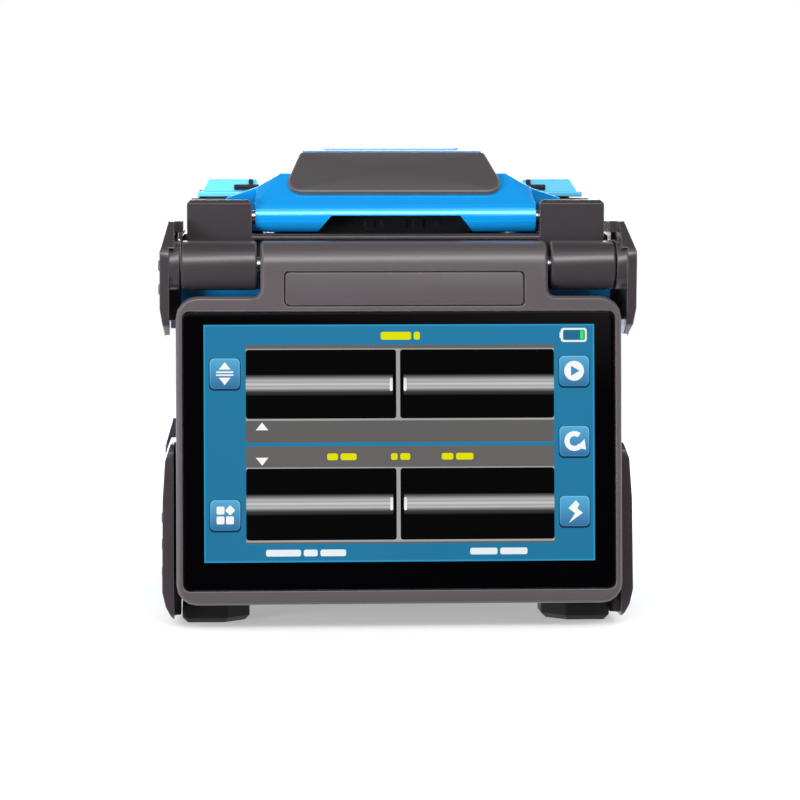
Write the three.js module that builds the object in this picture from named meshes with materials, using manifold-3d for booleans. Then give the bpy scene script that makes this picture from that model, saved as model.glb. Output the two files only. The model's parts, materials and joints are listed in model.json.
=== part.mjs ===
// A fiber fusion splicer: a blue aluminium case on rubber feet with corner guards, a touch monitor
// that folds up from the front, and on its deck the splicing bench under a hinged wind cover, two
// sheath clamps on feed carriages, and a sleeve heater. A battery slides out of the back.
// Millimetres, +X to the right, +Y to the back, +Z up. The origin is under the middle of the feet.

import * as THREE from 'three';
import { ConvexGeometry } from 'three/addons/geometries/ConvexGeometry.js';
import { mergeVertices } from 'three/addons/utils/BufferGeometryUtils.js';
import Module from 'manifold-3d';

const wasm = await Module();
wasm.setup();

// Driving dimensions
const GAP = 0.3; // running gap between neighbours
const ARC_STEPS = 4; // straight pieces in a rounded corner
const ROUND_SIDES = 32; // sides of a hinge barrel

const caseHalfWidth = 60;
const caseWall = 3;
const caseBottom = 10.2;
const caseTop = 98.1;
const caseRear = 70.4;
const caseFrontTop = -53.5; // where the sloping front meets the deck
const footHeight = 6.5;
const tripodBoss = { half: 15, drop: 0.8, hole: 3.4 }; // for a 1/4 inch tripod screw

const deckBottom = caseTop + 0.2;
const deckTop = 108.2;
const deckHalfWidth = 59.5;
const deckFront = -54.2;
const deckRear = 70.8;
const wellLedge = 102; // the splicing bench rests on this ledge

const hinge = { y: -61.6, z: 99.6, radius: 6.8 }; // monitor hinge
const monitorTilt = THREE.MathUtils.degToRad(4);
const knuckleLeft = [-59.8, -38.9];
const knuckleRight = [41.9, 59.8];
const monitorBarrel = [-38, 41];
const hingePin = { radius: 2.4, bore: 2.5, inKnuckle: 12, inBarrel: 10 };

const monitor = {
  halfWidth: 61.2, front: -6.8, seam: 0, back: 6.4, bottom: -93.1, shoulder: -8.7,
  cornerTop: 6, cornerBottom: 5.5, wall: 1.8, edge: 0.8,
};
const glass = { halfWidth: 59.15, top: -13.1, bottom: -89, corner: 2, thick: 1.1 };
const panel = { halfWidth: 56, top: -14.6, bottom: -84.6, thick: 3.4 };
const plate = { centre: 1.5, halfWidth: 33, top: -1.9, bottom: -11.5, corner: 1.2, thick: 0.8 };

const cover = { y: -48.5, z: 112.8, radius: 4.2, halfWidth: 39.2, wall: 2.2, bottom: 109.1 };
const coverSlope = THREE.MathUtils.degToRad(38.4);
const coverShoulder = { halfWidth: 31.8, z: 125 };
const hood = { bottomHalf: 29.3, topHalf: 25.4, top: 131.4, rearTop: -5, rear: 3.6 };
const wing = { halfWidth: 47.3, front: -40, rear: -28.6, bend: 38.4, bendZ: 121.2, tipZ: 118.1 };
const coverRear = { y: 11.4, slopeTop: 4.2, slopeBottomZ: 118.4 };
const windowCut = { top: 113.2, topHalf: 18, bottomHalf: 23 };
const coverPin = { radius: 1.9, bore: 2, inEar: 9, inBarrel: 8 };
const ear = { inner: 40.1, outer: 58.1, rear: -42.2, top: 117.6, edge: 1 };

const fibre = { y: -12, z: 118.2 }; // the fibre runs along X here
const carriage = { inner: 36.5, outer: 57, front: -26, rear: 5, top: 118, noseInner: 24, travel: 4 };
const clampLid = {
  inner: 37, outer: 55.5, front: -25.5, rear: 5.2, bottom: 118.4, slabTop: 119.9, top: 123.5,
  axisY: 7.6, axisZ: 118.6, barrel: 1.7, bore: 1, pin: 0.8,
};
const heater = {
  front: 19, rear: 49, half: 48.2, top: 111.8, bottom: 104.4, troughFront: 27, troughRear: 33,
  lidHalf: 36, lidTop: 114, clampOuter: 46, axisY: 46.6, axisZ: 112.5, barrel: 1.4, bore: 0.8, pin: 0.6,
};
const battery = {
  half: 39.6, front: 17.5, rear: 67, bottom: 16.6, top: 50.8, faceHalf: 42, faceBottom: 14.2, faceTop: 53.4,
  faceRear: 73.4,
};
const portPanel = { front: -26, rear: 24, bottom: 54, top: 78, thick: 2.4 };
const powerKey = { y: -16, z: 66, radius: 5.2, travel: 1 };
const guardOuter = 65.6;
const guardRib = 0.4;

// Materials
function finish(colour, roughness, metalness = 0) {
  return new THREE.MeshStandardMaterial({ color: colour, roughness, metalness });
}
const finishes = {
  graphite: finish(0x4a464a, 0.5),
  blueAluminium: finish(0x0a8ee0, 0.3, 0.6),
  paleBlue: finish(0x7fd6f2, 0.3, 0.3),
  satinGray: finish(0x5a5859, 0.4, 0.3),
  black: finish(0x101012, 0.6),
  glassBlack: finish(0x050506, 0.08),
  rubber: finish(0x2b292b, 0.9),
  steel: finish(0xc8c8cc, 0.25, 1),
  ceramic: finish(0xe8e6e0, 0.5),
  board: finish(0x14532d, 0.6),
  white: finish(0xe9f3f8, 0.35),
};

// Outline helpers: a corner is [u, v] or [u, v, radius]
function outline(corners, steps = ARC_STEPS) {
  const path = [];
  corners.forEach(([u, v, radius = 0], i) => {
    const here = new THREE.Vector2(u, v);
    if (radius === 0) {
      path.push(here);
      return;
    }
    const before = new THREE.Vector2(...corners.at(i - 1)).sub(here).normalize();
    const after = new THREE.Vector2(...corners[(i + 1) % corners.length]).sub(here).normalize();
    const half = Math.acos(before.dot(after)) / 2;
    const centre = before.clone().add(after).normalize().multiplyScalar(radius / Math.sin(half)).add(here);
    const start = before.clone().multiplyScalar(radius / Math.tan(half)).add(here).sub(centre);
    const turn = -Math.sign(before.cross(after)) * (Math.PI - 2 * half);
    for (let k = 0; k <= steps; k += 1) {
      path.push(start.clone().rotateAround(new THREE.Vector2(), (turn * k) / steps).add(centre));
    }
  });
  return path;
}

function rectangle(u0, u1, v0, v1, radius = 0) {
  return outline([[u0, v0, radius], [u1, v0, radius], [u1, v1, radius], [u0, v1, radius]]);
}

function circle(u, v, radius, sides = ROUND_SIDES) {
  return Array.from({ length: sides }, (_, k) => {
    const angle = (2 * Math.PI * k) / sides;
    return new THREE.Vector2(u + radius * Math.cos(angle), v + radius * Math.sin(angle));
  });
}

// Solids
function solid(geometry) {
  geometry.deleteAttribute('normal');
  geometry.deleteAttribute('uv');
  const merged = mergeVertices(geometry, 1e-5);
  const vertProperties = new Float32Array(merged.attributes.position.array);
  const triVerts = new Uint32Array(merged.index.array);
  return new wasm.Manifold(new wasm.Mesh({ numProp: 3, vertProperties, triVerts }));
}

function prism(points, low, high, edge, basis) {
  const bevel = edge > 0
    ? { bevelEnabled: true, bevelSegments: 1, bevelSize: edge, bevelOffset: -edge, bevelThickness: edge }
    : { bevelEnabled: false };
  const shape = new THREE.Shape(points);
  const geometry = new THREE.ExtrudeGeometry(shape, { depth: high - low - 2 * edge, steps: 1, ...bevel });
  geometry.translate(0, 0, low + edge);
  geometry.applyMatrix4(basis);
  return solid(geometry);
}

const [X, Y, Z] = [[1, 0, 0], [0, 1, 0], [0, 0, 1]].map((v) => new THREE.Vector3(...v));
const alongX = new THREE.Matrix4().makeBasis(Y, Z, X);
const alongY = new THREE.Matrix4().makeBasis(X, Z, Y.clone().negate());
const alongZ = new THREE.Matrix4();

// points are (y, z), (x, z) and (x, y)
const prismX = (points, x0, x1, edge = 0) => prism(points, x0, x1, edge, alongX);
const prismY = (points, y0, y1, edge = 0) => prism(points, -y1, -y0, edge, alongY);
const prismZ = (points, z0, z1, edge = 0) => prism(points, z0, z1, edge, alongZ);
const block = (x0, x1, y0, y1, z0, z1) => prismZ(rectangle(x0, x1, y0, y1), z0, z1);
const rodX = (y, z, radius, x0, x1, sides) => prismX(circle(y, z, radius, sides), x0, x1);
const rodY = (x, z, radius, y0, y1, sides) => prismY(circle(x, z, radius, sides), y0, y1);
const rodZ = (x, y, radius, z0, z1, sides) => prismZ(circle(x, y, radius, sides), z0, z1);

function hull(points) {
  return solid(new ConvexGeometry(points.map((p) => new THREE.Vector3(...p))));
}

function join(first, ...others) {
  return others.reduce((whole, other) => whole.add(other), first);
}

function cut(first, ...others) {
  return others.reduce((whole, other) => whole.subtract(other), first);
}

function common(first, ...others) {
  return others.reduce((whole, other) => whole.intersect(other), first);
}

const mirrorX = (points) => points.concat(points.map(([x, y, z]) => [-x, y, z]));
const flipX = (piece) => piece.mirror([1, 0, 0]);
const flipY = (piece) => piece.mirror([0, 1, 0]);
const onSide = (piece, side) => (side < 0 ? flipX(piece) : piece);

const group = new THREE.Group();

function add(name, piece, material, parent = group) {
  const { vertProperties, triVerts } = piece.getMesh();
  const geometry = new THREE.BufferGeometry();
  geometry.setAttribute('position', new THREE.BufferAttribute(vertProperties, 3));
  geometry.setIndex(new THREE.BufferAttribute(triVerts, 1));
  const mesh = new THREE.Mesh(geometry, material);
  mesh.name = name;
  parent.add(mesh);
  return mesh;
}

// Case: an open-ended blue tube with a sloping front, windows for the battery and ports, and air slots
function bodyShell() {
  const slope = Math.tan(monitorTilt);
  const sideOutline = (inset) => {
    const front = (z) => caseFrontTop + inset - (caseTop - z) * slope;
    const [low, high] = [caseBottom - (inset ? 1 : 0), caseTop + (inset ? 1 : 0)];
    return outline([
      [front(low), low], [caseRear - inset, low], [caseRear - inset, high], [front(high), high],
    ]);
  };
  const width = caseHalfWidth;
  const tube = cut(
    common(
      prismX(sideOutline(0), -width, width),
      prismZ(outline([
        [-width, -62, 2], [width, -62, 2], [width, caseRear, 5], [-width, caseRear, 5],
      ]), 0, 120),
    ),
    prismX(sideOutline(caseWall), -width + caseWall, width - caseWall),
  );
  const batteryWindow = block(-41, 41, 60, 80, battery.bottom - 1, battery.top + 1);
  const portWindow = block(
    50, 70, portPanel.front + 2, portPanel.rear - 2, portPanel.bottom + 2, portPanel.top - 2,
  );
  const slots = Array.from({ length: 7 }, (_, k) => block(-70, -50, -18 + k * 6, -15 + k * 6, 58, 76));
  return cut(tube, batteryWindow, portWindow, ...slots);
}

function basePlate() {
  const { half, drop, hole } = tripodBoss;
  const tray = prismZ(rectangle(-59, 59, -58.6, 69.6, 4), footHeight, caseBottom - 0.1, 0.6);
  const boss = prismZ(rectangle(-half, half, -half, half, 3), footHeight - drop, footHeight + 1);
  const strapSlots = [-20, 20].map((y) => block(-18, 18, y - 1.2, y + 1.2, 0, 20));
  return cut(join(tray, boss), rodZ(0, 0, hole, 0, 20, 24), ...strapSlots);
}

function foot(side, end) {
  const [inner, outer, front, back] = [41, 59.8, 40, 57.5];
  const sole = prismZ(outline([
    [inner, front, 2], [outer, front, 2], [outer, back, 2], [inner + 6.5, back], [inner, back - 6.5],
  ], 3), 0, footHeight - 0.1, 1.4);
  return onSide(end < 0 ? flipY(sole) : sole, side);
}

// Deck: the dark casting that closes the case and carries the ears of the cover hinge
function topDeck() {
  const plan = rectangle(-deckHalfWidth, deckHalfWidth, deckFront, deckRear, 3);
  const slab = prismZ(plan, deckBottom, deckTop, 0.8);
  const well = block(-33.5, 33.5, -36.5, 8.5, wellLedge, 120);
  const wellBelow = block(-30, 30, -33, 5, 90, 110);
  const heaterPocket = block(-47, 47, heater.front - GAP, 45, heater.bottom - GAP, 120);
  const lipUnderside = block(-39.4, 39.4, -60, deckFront + 3, deckBottom - 1, 106.6);
  const ears = [-1, 1].map((side) => {
    const one = cut(
      prismZ(rectangle(ear.inner, ear.outer, deckFront, ear.rear), deckTop - 2, ear.top, ear.edge),
      rodX(cover.y, cover.z, coverPin.bore, ear.inner - 1, ear.inner + coverPin.inEar, 24),
    );
    return onSide(one, side);
  });
  return join(cut(slab, well, wellBelow, heaterPocket, lipUnderside), ...ears);
}

// Corner guards: a front view outline, a side view outline and a plan, each cut through the others
function frontUpperGuard() {
  const [low, high] = [80.4, 111.8];
  const seenFromFront = outline([
    [57, low], [64.3, low], [guardOuter, 88], [guardOuter - 0.1, 103.4], [63.1, high], [57, high],
  ]);
  const seenFromSide = outline([
    [-66.6, low + 3, 2], [-60, low, 2], [-34, low, 3], [-30, low + 5, 3], [-30, high - 7, 3],
    [-37, high, 3], [-59, high, 3], [-69.2, 103.5, 4],
  ]);
  const plan = outline([[62.9, -71], [guardOuter + 1, -71, 2.4], [guardOuter + 1, -20], [62.9, -20]]);
  const outerPlate = common(
    prismY(seenFromFront, -72, -20), prismX(seenFromSide, 50, 70), prismZ(plan, 70, 120),
  );
  const cheek = join(
    rodX(hinge.y, hinge.z, hinge.radius, 60.1, 63.2),
    block(60.1, 63.2, hinge.y, -36, hinge.z - hinge.radius, hinge.z + hinge.radius),
    block(60.1, 63.2, -50, -34, 84, 100),
  );
  const thickTop = common(
    prismY(seenFromFront, -72, -20), prismX(seenFromSide, 50, 70), block(61.5, 70, -80, -20, 104.5, 120),
  );
  const lip = common(prismX(seenFromSide, 59.2, 63), block(50, 70, -57, -20, 108.6, high));
  const web = block(60.6, 63.2, -50, -37, 104, 110);
  return join(outerPlate, thickTop, cheek, lip, web, ...ribs(-62, -36, [98, 91.5]));
}

function ribs(front, back, levels) {
  const outer = guardOuter + guardRib;
  return levels.map((z) => (
    prismX(rectangle(front, back, z, z + 3.2, 1.2), guardOuter - 1, outer, guardRib / 2)));
}

function frontLowerGuard() {
  const [low, high] = [2, 50.5];
  const seenFromFront = outline([
    [60.1, low], [62.4, low], [64.3, 5.6], [65.3, 9.8],
    [65.1, 34.7], [64.4, 45.8], [62.8, high], [60.1, high],
  ]);
  const seenFromSide = outline([
    [-66, low, 3], [-34, low, 3], [-30, low + 6, 3], [-30, high - 10, 4], [-38, high, 4], [-63, high, 4],
  ]);
  const plan = outline([[60.1, -54.5], [61.9, -56], [61.9, -67], [66, -67, 3.2], [66, -20], [60.1, -20]]);
  const whole = common(prismY(seenFromFront, -70, -20), prismX(seenFromSide, 50, 70), prismZ(plan, 0, 60));
  return join(whole, ...ribs(-58, -36, [28, 20.5, 13]).map((rib) => rib.translate([-0.5, 0, 0])));
}

function rearGuard(low, high, levels) {
  const back = 74.9;
  const inner = caseHalfWidth + 0.1;
  const seenFromFront = outline([
    [40, low], [64.3, low], [guardOuter, low + 7], [guardOuter, high - 8], [63.2, high], [40, high],
  ]);
  const seenFromSide = outline([
    [30, low + 6, 3], [34, low, 3], [back - 1.4, low], [back, low + 7], [back, high - 8],
    [back - 2.4, high], [38, high, 4], [30, high - 8, 4],
  ]);
  const plan = outline([
    [inner, 26], [68, 26], [68, 77, 9], [46, 77], [46, deckRear + 0.1], [inner, deckRear + 0.1, 2],
  ]);
  const wide = outline([
    [inner, 26], [guardOuter, 26], [guardOuter, back, 8], [46, back], [46, deckRear + 0.1],
    [inner, deckRear + 0.1, 2],
  ]);
  const whole = common(prismY(seenFromFront, 20, 80), prismX(seenFromSide, 40, 70), prismZ(plan, 0, 120));
  return join(common(whole, prismZ(wide, 0, 120)), ...ribs(36, 62, levels));
}

// Monitor hinge
function knuckle([x0, x1]) {
  const reach = deckFront - 0.1 - hinge.y;
  const arc = Array.from({ length: 17 }, (_, k) => {
    const angle = Math.PI / 2 + (Math.PI * k) / 16;
    const [y, z] = [hinge.radius * Math.cos(angle), hinge.radius * Math.sin(angle)];
    return new THREE.Vector2(hinge.y + y, hinge.z + z);
  });
  const back = [[reach, -hinge.radius], [reach, hinge.radius]];
  const section = arc.concat(back.map(([y, z]) => new THREE.Vector2(hinge.y + y, hinge.z + z)));
  return prismX(section, x0, x1, 0.5);
}

function monitorPin(side) {
  const [x, toBarrel] = side < 0 ? [knuckleLeft[1], 1] : [knuckleRight[0], -1];
  const ends = [x - toBarrel * hingePin.inKnuckle, x + toBarrel * hingePin.inBarrel].sort((a, b) => a - b);
  return rodX(hinge.y, hinge.z, hingePin.radius, ...ends, 24);
}

function boredKnuckle(ends, side) {
  const mouth = side < 0 ? ends[1] : ends[0];
  const depth = hingePin.inKnuckle + 1;
  const bore = rodX(hinge.y, hinge.z, hingePin.bore, mouth - depth, mouth + depth, 24);
  return cut(knuckle(ends), bore);
}

// Monitor, in its own frame: the hinge axis is the X axis and the screen faces -Y
function monitorOutline(inset, top = []) {
  const { bottom, shoulder, cornerTop, cornerBottom } = monitor;
  const half = monitor.halfWidth - inset;
  const [low, high] = [bottom + inset, shoulder - inset];
  return outline([
    [-half, low, cornerBottom - inset], [half, low, cornerBottom - inset],
    [half, high, cornerTop - inset], ...top, [-half, high, cornerTop - inset],
  ]);
}

function monitorFrame() {
  const { front, seam, shoulder, edge } = monitor;
  const [left, right] = monitorBarrel;
  const neckFront = [[right, shoulder, 2], [right, edge], [left, edge], [left, shoulder, 2]];
  const rim = prismY(monitorOutline(0, neckFront), front, seam, edge);
  const neck = prismX(outline([
    [front + 1, shoulder - 6], [front + 1, 0], [0, 0], [5.6, -4], [5.6, shoulder + GAP],
    [seam, shoulder + GAP], [seam, shoulder - 6],
  ]), left + edge, right - edge);
  const barrel = prismX(circle(0, 0, hinge.radius), left, right, edge);
  const glassHalf = glass.halfWidth + GAP;
  const pocket = prismY(
    rectangle(-glassHalf, glassHalf, glass.bottom - GAP, glass.top + GAP, glass.corner),
    front - 1, front + glass.thick + 2 * GAP,
  );
  const window = block(
    -panel.halfWidth - GAP, panel.halfWidth + GAP, front - 1, seam + 1, panel.bottom - GAP, panel.top + GAP,
  );
  const recess = prismY(
    rectangle(
      plate.centre - plate.halfWidth, plate.centre + plate.halfWidth, plate.bottom, plate.top, plate.corner,
    ), front - 1, front + plate.thick + 2 * GAP,
  );
  const bores = [[left, 1], [right, -1]].map(([x, inwards]) => {
    const ends = [x - inwards, x + inwards * (hingePin.inBarrel + 1)].sort((a, b) => a - b);
    return rodX(0, 0, hingePin.bore, ...ends, 24);
  });
  return cut(join(rim, neck, barrel), pocket, window, recess, ...bores);
}

function monitorRearShell() {
  const { seam, back, wall } = monitor;
  const outside = prismY(monitorOutline(0), seam + GAP - 1.4, back, 1.4);
  const skin = cut(outside, block(-70, 70, -20, seam + GAP, -110, 20));
  const inside = prismY(monitorOutline(wall), seam - 2, back - wall);
  const handhold = prismY(rectangle(-30, 30, -72, -40, 4), back - 0.8, back + 1);
  return cut(skin, inside, handhold);
}

function touchGlass() {
  const { halfWidth, top, bottom, corner, thick } = glass;
  const front = monitor.front + GAP;
  return prismY(rectangle(-halfWidth, halfWidth, bottom, top, corner), front, front + thick, 0.2);
}

function lcdPanel() {
  const front = monitor.front + glass.thick + 3 * GAP;
  const back = front + panel.thick;
  const module = block(-panel.halfWidth, panel.halfWidth, front, back, panel.bottom, panel.top);
  const driver = block(-42, 42, back - 0.1, back + 3.4, panel.bottom + 8, panel.top - 10);
  return join(module, driver);
}

function namePlate() {
  const { centre, halfWidth, top, bottom, corner, thick } = plate;
  const front = monitor.front + GAP;
  return prismY(
    rectangle(centre - halfWidth + GAP, centre + halfWidth - GAP, bottom + GAP, top - GAP, corner),
    front, front + thick,
  );
}

// Wind cover
const slopeStart = {
  y: cover.y - cover.radius * Math.sin(coverSlope), z: cover.z + cover.radius * Math.cos(coverSlope),
};
const slopeY = (z) => slopeStart.y + (z - slopeStart.z) / Math.tan(coverSlope);
const slopeZ = (y) => slopeStart.z + (y - slopeStart.y) * Math.tan(coverSlope);

function coverOutside() {
  const { halfWidth, z: shoulderZ } = coverShoulder;
  const flankY = slopeY(wing.bendZ) + 1.6;
  const front = hull(mirrorX([
    [cover.halfWidth, cover.y, cover.z - cover.radius], [cover.halfWidth, slopeStart.y, slopeStart.z],
    [cover.halfWidth, cover.y - cover.radius, cover.z], [halfWidth, slopeY(shoulderZ), shoulderZ],
    [wing.bend, flankY, wing.bendZ], [cover.halfWidth, flankY, cover.bottom],
    [wing.bend, wing.front + 1, wing.bendZ], [cover.halfWidth, wing.front + 1, cover.bottom],
    [halfWidth, wing.front + 1, shoulderZ],
  ]));
  const barrel = rodX(cover.y, cover.z, cover.radius, -cover.halfWidth, cover.halfWidth);
  const wings = prismY(outline([
    [-wing.halfWidth, wing.tipZ, 1], [-wing.halfWidth, 113, 1], [-wing.halfWidth + 3, cover.bottom],
    [wing.halfWidth - 3, cover.bottom], [wing.halfWidth, 113, 1], [wing.halfWidth, wing.tipZ, 1],
    [wing.bend, wing.bendZ], [halfWidth, shoulderZ], [-halfWidth, shoulderZ], [-wing.bend, wing.bendZ],
  ]), wing.front, wing.rear);
  const rear = prismX(outline([
    [wing.front, cover.bottom], [coverRear.y, cover.bottom], [coverRear.y, coverRear.slopeBottomZ],
    [coverRear.slopeTop, shoulderZ], [wing.front, shoulderZ],
  ]), -halfWidth, halfWidth);
  const top = hull(mirrorX([
    [hood.bottomHalf, slopeY(shoulderZ - 1), shoulderZ - 1], [hood.topHalf, slopeY(hood.top), hood.top],
    [hood.topHalf, hood.rearTop, hood.top], [hood.bottomHalf, hood.rear, shoulderZ - 1],
  ]));
  return join(front, barrel, wings, rear, top);
}

function coverInside() {
  const wall = cover.wall;
  const back = cover.y + cover.radius + 0.5;
  const half = coverShoulder.halfWidth - wall;
  const under = cover.bottom - 2;
  const slopeWall = wall / Math.cos(coverSlope);
  const ceiling = coverShoulder.z - wall;
  const main = prismX(outline([
    [back, under], [coverRear.y - wall, under], [coverRear.y - wall, coverRear.slopeBottomZ - 0.8],
    [coverRear.slopeTop - 1, ceiling], [slopeY(ceiling + slopeWall), ceiling],
    [back, slopeZ(back) - slopeWall],
  ]), -half, half);
  const upper = hull(mirrorX([
    [hood.bottomHalf - wall - 0.4, slopeY(coverShoulder.z - 3) + 3.6, coverShoulder.z - 3],
    [hood.topHalf - wall, slopeY(hood.top - wall) + 3.6, hood.top - wall],
    [hood.topHalf - wall, hood.rearTop - 1, hood.top - wall],
    [hood.bottomHalf - wall - 0.4, hood.rear - 2.4, coverShoulder.z - 3],
  ]));
  const wingHalf = wing.halfWidth - wall;
  const wingRooms = block(
    -wingHalf, wingHalf, wing.front + wall, wing.rear - wall, under, wing.tipZ - wall,
  );
  return join(main, upper, wingRooms);
}

function windCoverShell() {
  const { top, topHalf, bottomHalf } = windowCut;
  const frontWindow = prismY(outline([
    [-bottomHalf, 107], [bottomHalf, 107], [bottomHalf - 1.2, cover.z - cover.radius], [topHalf, top],
    [-topHalf, top], [-bottomHalf + 1.2, cover.z - cover.radius],
  ]), -56, cover.y + cover.radius + 1);
  const fibreNotches = block(-40, 40, fibre.y - 6, fibre.y + 6, 100, 120.2);
  const bores = [-1, 1].map((side) => {
    const [deep, mouth] = [cover.halfWidth - coverPin.inBarrel, cover.halfWidth + 1];
    return onSide(rodX(cover.y, cover.z, coverPin.bore, deep, mouth, 24), side);
  });
  return cut(coverOutside(), coverInside(), frontWindow, fibreNotches, ...bores);
}

// The grip plate lies on the slope, so its outline is drawn in the slope's own plane: u along X, v up it
function windCoverGripPlate() {
  const lift = 0.3;
  const length = 18.5;
  const slab = prismZ(outline([
    [-29.8, 0, 4], [29.8, 0, 4], [29.8, 6.4, 2], [26.2, length, 1.4], [-26.2, length, 1.4], [-29.8, 6.4, 2],
  ]), lift, lift + 1.9, 0.6);
  const start = 118.9;
  return slab.rotate([THREE.MathUtils.radToDeg(coverSlope), 0, 0]).translate([0, slopeY(start), start]);
}

function windCoverTopPlate() {
  return prismZ(rectangle(-19.8, 19.8, -28.5, -7.5, 3), hood.top + GAP, hood.top + 1.5, 0.5);
}

function windCoverLiner() {
  const slab = prismZ(rectangle(-20, 20, -27.4, -5, 2), 125.6, 127.4);
  const ceiling = hood.top - cover.wall - GAP;
  const posts = [-15, 15].map((x) => block(x - 2, x + 2, -14, -10, 127.2, ceiling));
  return join(slab, ...posts);
}

function ledLamp(end) {
  const lamp = new THREE.CylinderGeometry(2.4, 2.4, 5, 20).rotateX(end * Math.PI / 4);
  const stem = solid(lamp).translate([0, fibre.y + end * 5.6, 123.2]);
  return cut(stem, block(-10, 10, -40, 20, 125.6 - GAP, 140));
}

function fibreClampArm(side) {
  const arm = prismX(outline([
    [fibre.y - 2, 125.6 - GAP], [fibre.y - 2, 120.4], [fibre.y - 0.9, 118.7], [fibre.y + 0.9, 118.7],
    [fibre.y + 2, 120.4], [fibre.y + 2, 125.6 - GAP],
  ]), 5, 9.4);
  return onSide(arm, side);
}

function coverHingePin(side) {
  const ends = [side * (cover.halfWidth - coverPin.inBarrel + 1), side * (ear.inner + coverPin.inEar - 1)];
  return rodX(cover.y, cover.z, coverPin.radius, ...ends.sort((a, b) => a - b), 24);
}

function statusStrip() {
  const fascia = block(-21, 21, -42.4, -40.8, deckTop, 113.9);
  const windows = [[0, 3.6], [-6.9, 1.55], [6.9, 1.55]].map(([x, half]) => (
    prismY(rectangle(x - half, x + half, 109.6, 112, 0.3), -42.9, -42, 0.2)));
  const screws = [-12.2, 12.2].map((x) => rodY(x, 110.8, 0.8, -42.7, -42, 12));
  return join(fascia, ...windows, ...screws);
}

// Splicing bench
const lensTilt = Math.PI / 4;
function lensRod(end, radius, near, far, sides = 24) {
  const rod = new THREE.CylinderGeometry(radius, radius, far - near, sides);
  rod.translate(0, -(near + far) / 2, 0).rotateX(Math.PI / 2 + end * lensTilt);
  return solid(rod).translate([0, fibre.y, fibre.z]);
}

function spliceBench() {
  const flange = block(-33, 33, -36, 8, wellLedge, 105);
  const tower = prismZ(rectangle(-13, 13, -30, 6, 1.5), 104.8, 113.4);
  const channels = [-1, 1].flatMap((end) => [lensRod(end, 3.4, 4, 40), lensRod(end, 4.9, 13.4, 40)]);
  return cut(join(flange, tower), ...channels);
}

function vGroove(side) {
  const { y, z } = fibre;
  const holder = cut(
    block(4, 11.5, y - 5, y + 5, 113.5, z),
    prismX(outline([[y, z - 0.8], [y + 1.2, z + 0.4], [y - 1.2, z + 0.4]]), 0, 20),
  );
  return onSide(holder, side);
}

function electrode(end) {
  const profile = [[0, 1.2], [1, 4.2], [1, 16.8], [1.4, 16.8], [1.4, 18], [0, 18]];
  const rod = new THREE.LatheGeometry(profile.map(([r, h]) => new THREE.Vector2(r, h)), 16);
  return solid(rod.rotateX(end < 0 ? Math.PI : 0)).translate([0, fibre.y, fibre.z]);
}

function electrodeHolder(end) {
  const body = prismZ(rectangle(-7, 7, 10, 16.6), 113.5, 120.2, 0.5);
  const placed = end < 0 ? flipY(body) : body;
  return cut(placed.translate([0, fibre.y, 0]), rodY(0, fibre.z, 1.15, -60, 40, 16));
}

function microscope(end) {
  return join(lensRod(end, 3, 8.5, 14), lensRod(end, 4.4, 13.9, 18), lensRod(end, 4.2, 17.9, 21, 4));
}

// Feed carriages with their sheath clamps
function feedCarriage(side) {
  const { inner, outer, front, rear, top, noseInner } = carriage;
  const { axisY, axisZ, pin } = clampLid;
  const base = prismX(outline([
    [front, deckTop + GAP], [rear, deckTop + GAP], [rear, top, 0.6], [front, top, 0.6],
  ], 2), inner, outer);
  const nose = block(noseInner, inner + 1, fibre.y - 4, fibre.y + 4, 112, top);
  const lugs = [[inner + 0.6, inner + 2.6], [outer - 4, outer - 2]].map(([x0, x1]) => (
    prismX(outline([
      [rear - 2, 111], [rear + 2, 111], [axisY + 1.9, axisZ - 1], [axisY + 1.9, axisZ + 1.8, 1.6],
      [axisY - 1.9, axisZ + 1.8, 1.6], [axisY - 2.1, top - 0.6], [rear - 2, top - 0.6],
    ]), x0, x1)));
  const hingeRod = rodX(axisY, axisZ, pin, inner + 1, outer - 3, 16);
  const groove = block(noseInner - 1, outer + 1, fibre.y - 0.6, fibre.y + 0.6, top - 0.5, top + 1);
  const railSlot = block(inner - 2, outer + 1, fibre.y - 2 - GAP, fibre.y + 2 + GAP, deckTop - 1, 110.4);
  const whole = join(cut(base, railSlot), nose);
  const piece = join(cut(whole, groove), ...lugs, hingeRod);
  return onSide(piece, side);
}

function sheathClampLid(side) {
  const { inner, outer, front, rear, bottom, slabTop, top, axisY, axisZ, barrel, bore } = clampLid;
  const slab = prismZ(rectangle(inner, outer, front, rear, 1.2), bottom, slabTop, 0.25);
  const raised = common(
    prismY(outline([[inner + 0.6, slabTop - 0.3], [outer - 1.4, slabTop - 0.3], [outer - 3.6, top, 1.2],
      [inner + 1.2, top, 1.2]]), front + 1.4, rear - 1),
    prismX(outline([
      [front + 1, slabTop - 1], [rear, slabTop - 1], [rear - 3, top, 1], [front + 4, top, 1],
    ]), 0, 80),
  );
  const [x0, x1] = [inner + 3, outer - 2.8];
  const arm = prismX(outline([[rear - 1, bottom], [axisY, axisZ - barrel], [axisY, axisZ + barrel],
    [rear - 1, slabTop]]), x0, x1);
  const knuckleRod = rodX(axisY, axisZ, barrel, x0, x1, 20);
  const slot = block(inner + 2.4, inner + 3.6, front - 1, rear + 1, slabTop + 0.6, top + 1);
  const bores = rodX(axisY, axisZ, bore, x0 - 1, x1 + 1, 16);
  const piece = cut(join(cut(join(slab, raised), slot), arm, knuckleRod), bores);
  return onSide(piece, side);
}

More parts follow.
